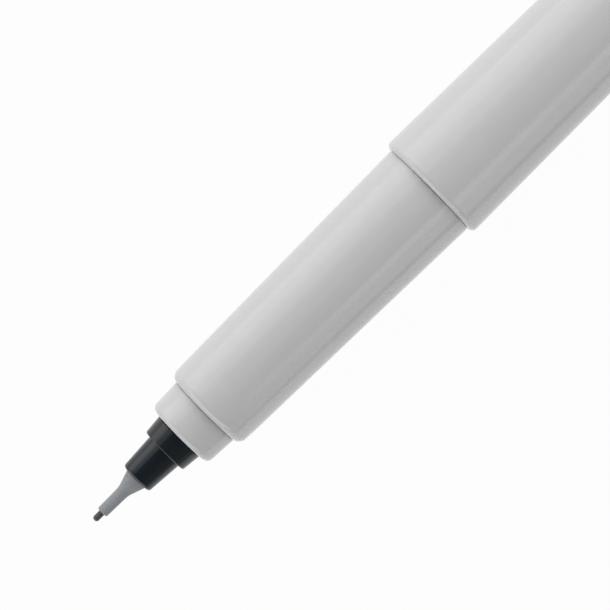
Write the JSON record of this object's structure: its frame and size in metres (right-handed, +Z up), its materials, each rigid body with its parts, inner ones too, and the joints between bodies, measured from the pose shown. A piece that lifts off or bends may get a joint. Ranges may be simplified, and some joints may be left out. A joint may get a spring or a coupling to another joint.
{
  "type": "fine-point permanent marker",
  "caption": "Slim fine-point marker with a stepped grey barrel, a black nib holder, a sleeved nib and a black clip cap pushed on its rear end.",
  "frame": {"origin": "on the table under the middle of the whole marker as it lies with its cap on the rear end", "axes": "+X along the marker from the nib to the crown of the cap, +Z up from the table, and the pocket clip on the -Y side, low down"},
  "size_m": [0.1514, 0.0134, 0.0112],
  "materials": {
    "nib_plastic": "drawn rod, ink-stained, matte",
    "sleeve_plastic": "satin grey",
    "black_plastic": "moulded, soft gloss",
    "grey_plastic": "moulded, satin",
    "inked_fibre": "bonded fibre soaked with ink",
    "clear_film": "thin smooth film",
    "seal_plastic": "soft natural plastic"
  },
  "bodies": {
    "marker_body": {"nib": "nib_plastic", "nib_sleeve": "sleeve_plastic", "nib_holder": "black_plastic", "barrel": "grey_plastic", "ink_reservoir": "inked_fibre", "reservoir_wrap": "clear_film", "rear_plug": "black_plastic"},
    "cap": {"cap_shell": "black_plastic", "cap_seal": "seal_plastic"},
    "clip": {"pocket_clip": "black_plastic"}
  },
  "joints": [
    {"name": "cap_pull", "type": "slide", "parent": "marker_body", "child": "cap", "axis": [1, 0, 0], "range_m": [0, 0.034]},
    {"name": "clip_flex", "type": "hinge", "parent": "cap", "child": "clip", "pos_m": [0.071, -0.00511, 0.0023], "axis": [0, -0.4697, 0.8828], "range_deg": [0, 4], "stiffness_Nm_per_rad": 0.8}
  ]
}
